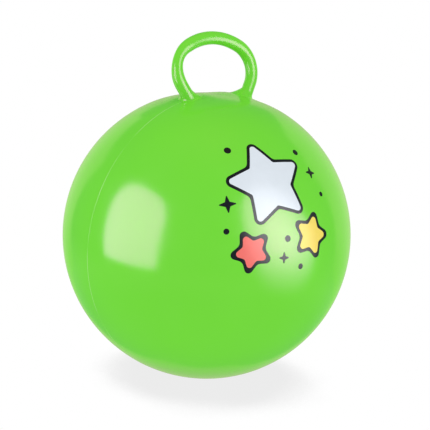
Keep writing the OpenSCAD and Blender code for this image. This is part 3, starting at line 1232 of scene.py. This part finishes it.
def set_light(side, receiver, outline, level, turn, shift, height):
    """One clear, glowing panel, for the handle alone or for all but it. level(tree) gives its light."""
    studio = settings().studio
    for_handle = receiver == "handle"
    name = f"{side}_light_on_{receiver}"
    material, tree, shine = glow(name, is_light=True)
    shown = studio.handle_light if for_handle else facing_skin(tree)
    tree.links.new(worked(tree, "MULTIPLY", level(tree), shown), shine.inputs["Strength"])
    cleared(tree, shine, "ShaderNodeAddShader")
    distance = studio.light_distance + (studio.light_gap if for_handle else 0)
    panel = set_panel(name, outline, material, turn, shift, distance, height)
    receivers = bpy.data.collections.new(name)
    receivers.objects.link(bpy.data.objects["ring_handle"])
    receivers.collection_objects[0].light_linking.link_state = "INCLUDE" if for_handle else "EXCLUDE"
    panel.light_linking.receiver_collection = receivers


def set_left_light(receiver):
    """The softbox on the left, with round upper corners and a sloping foot."""
    studio = settings().studio
    low, high, half_h = studio.left_low_w / 2, studio.left_high_w / 2, studio.left_h / 2
    far = -(studio.handle_far if receiver == "handle" else 1)
    corners = [(far * low, -half_h + studio.left_slope), (low, -half_h), (high, half_h), (far * high, half_h)]
    outline = rounded(corners, [studio.left_foot_r] * 2 + [studio.left_corner_r] * 2)
    set_light(
        "left", receiver, outline, lambda tree: studio.left_light,
        -studio.light_turn, studio.left_shift, studio.left_foot + half_h,
    )


def right_level(tree, fade):
    """Light of the round panel, dimmer at its soft rim. It fades out over the share fade of its height."""
    studio = settings().studio
    half_w, half_h, light = studio.right_w / 2, studio.right_h / 2, studio.right_light
    spot = add_node(tree, "ShaderNodeSeparateXYZ", Vector=own_coords(tree)).outputs
    up = spot["Z"]
    across = worked(tree, "MULTIPLY_ADD", up, studio.right_tilt, spot["X"])
    shares = (worked(tree, "DIVIDE", across, half_w), worked(tree, "DIVIDE", up, half_h))
    out = worked(tree, "SQRT", worked(tree, "ADD", *(worked(tree, "POWER", way, 2) for way in shares)))
    soft = spread(tree, up, studio.right_soft, studio.right_top_soft, -half_h, half_h)
    within = worked(tree, "DIVIDE", worked(tree, "SUBTRACT", worked(tree, "ADD", soft, 1), out), soft)
    edge = spread(tree, within, 0.0, 1.0, 0.0, RIM_WIDTHS)
    foot = spread(tree, up, 0.0, 1.0, -half_h, (2 * fade - 1) * half_h)
    middle = spread(tree, out, light, studio.right_rim * light, 0.0, 1.0)
    return worked(tree, "MULTIPLY", worked(tree, "MULTIPLY", middle, edge), foot)


def set_right_light(receiver):
    """The round light on the right, which leans towards the camera."""
    studio = settings().studio
    half_w, half_h = studio.right_w / 2, studio.right_h / 2
    fade = studio.right_fade * (studio.handle_fade if receiver == "handle" else 1)
    outline = [
        (across * half_w - studio.right_tilt * up * half_h, up * half_h)
        for across, up in circle(2 * (1 + studio.right_soft), CIRCLE_STEPS)
    ]
    set_light(
        "right", receiver, outline, lambda tree: right_level(tree, fade),
        studio.light_turn, -studio.right_shift, studio.right_foot + half_h,
    )


def set_camera():
    """The camera, aimed so that the ball's middle falls on its pixel."""
    studio = settings().studio
    ahead = Vector(-pointing(studio.azimuth, studio.elevation))
    facing = ahead.to_track_quat("-Z", "Y").to_matrix() @ Matrix.Rotation(studio.roll, 3, "Z")
    focal_px = studio.lens_mm / SENSOR_MM * PICTURE_PX
    px_size = studio.distance / focal_px
    off_x = (PICTURE_PX / 2 - studio.middle_px[0]) * px_size
    off_y = (studio.middle_px[1] - PICTURE_PX / 2) * px_size
    camera = bpy.data.objects.new("camera", bpy.data.cameras.new("camera"))
    bpy.context.scene.collection.objects.link(camera)
    camera.data.sensor_width = SENSOR_MM
    camera.data.lens = studio.lens_mm
    spot = Vector(BALL_MIDDLE) + facing @ Vector((off_x, off_y, studio.distance))
    camera.matrix_world = Matrix.Translation(spot) @ facing.to_4x4()
    bpy.context.scene.camera = camera


def set_stage():
    """Floor, white surroundings, what the gloss shows, and the camera."""
    bpy.context.scene.view_settings.view_transform = "Standard"
    set_floor()
    set_sky()
    set_room()
    set_wall()
    for receiver in ("ball", "handle"):
        set_left_light(receiver)
        set_right_light(receiver)
    set_camera()


# Operators, panel and registration


class HOPPERBALL_OT_skin(bpy.types.Operator):
    """Build the blown skin of the ball"""

    bl_idname = "hopper_ball.skin"
    bl_label = "Ball skin"

    def execute(self, context):
        build_skin()
        return {"FINISHED"}


class HOPPERBALL_OT_handle(bpy.types.Operator):
    """Build the ring handle with its two flared roots"""

    bl_idname = "hopper_ball.handle"
    bl_label = "Ring handle"

    def execute(self, context):
        build_handle()
        return {"FINISHED"}


class HOPPERBALL_OT_valve(bpy.types.Operator):
    """Build the filling neck of the valve"""

    bl_idname = "hopper_ball.valve"
    bl_label = "Filling neck"

    def execute(self, context):
        build_valve()
        return {"FINISHED"}


class HOPPERBALL_OT_plug(bpy.types.Operator):
    """Build the stopper that closes the valve"""

    bl_idname = "hopper_ball.plug"
    bl_label = "Stopper"

    def execute(self, context):
        build_plug()
        return {"FINISHED"}


class HOPPERBALL_OT_print(bpy.types.Operator):
    """Print the stars, sparkles and dots on the front of the ball"""

    bl_idname = "hopper_ball.print"
    bl_label = "Print"

    def execute(self, context):
        build_print()
        return {"FINISHED"}


class HOPPERBALL_OT_stage(bpy.types.Operator):
    """Set up the floor, the light and the camera"""

    bl_idname = "hopper_ball.stage"
    bl_label = "Studio"

    def execute(self, context):
        set_stage()
        return {"FINISHED"}


OPERATORS = (
    HOPPERBALL_OT_skin,
    HOPPERBALL_OT_handle,
    HOPPERBALL_OT_valve,
    HOPPERBALL_OT_plug,
    HOPPERBALL_OT_print,
    HOPPERBALL_OT_stage,
)


class HOPPERBALL_PT_sidebar(bpy.types.Panel):
    """Settings of the hopper ball, and the steps that build it"""

    bl_label = "Hopper Ball"
    bl_idname = "HOPPERBALL_PT_sidebar"
    bl_space_type = "VIEW_3D"
    bl_region_type = "UI"
    bl_category = "Hopper Ball"

    def draw(self, context):
        layout = self.layout
        for operator in OPERATORS:
            layout.operator(operator.bl_idname)
        for name in HopperBallSettings.__annotations__:
            group = getattr(context.scene.hopper_ball, name)
            box = layout.box()
            box.label(text=type(group).__doc__)
            for setting in type(group).__annotations__:
                box.prop(group, setting)


CLASSES = (
    BallSizes,
    HandleSizes,
    ValveSizes,
    PlugSizes,
    PrintSizes,
    Finishes,
    StudioSettings,
    HopperBallSettings,
    *OPERATORS,
    HOPPERBALL_PT_sidebar,
)


def register():
    """Adds the settings, the operators and the panel."""
    for cls in CLASSES:
        bpy.utils.register_class(cls)
    bpy.types.Scene.hopper_ball = PointerProperty(type=HopperBallSettings)


def unregister():
    """Takes them away again."""
    del bpy.types.Scene.hopper_ball
    for cls in reversed(CLASSES):
        bpy.utils.unregister_class(cls)


def main():
    """Builds everything in order."""
    register()
    bpy.ops.hopper_ball.skin()
    bpy.ops.hopper_ball.handle()
    bpy.ops.hopper_ball.valve()
    bpy.ops.hopper_ball.plug()
    bpy.ops.hopper_ball.print()
    bpy.ops.hopper_ball.stage()


if __name__ == "__main__":
    main()
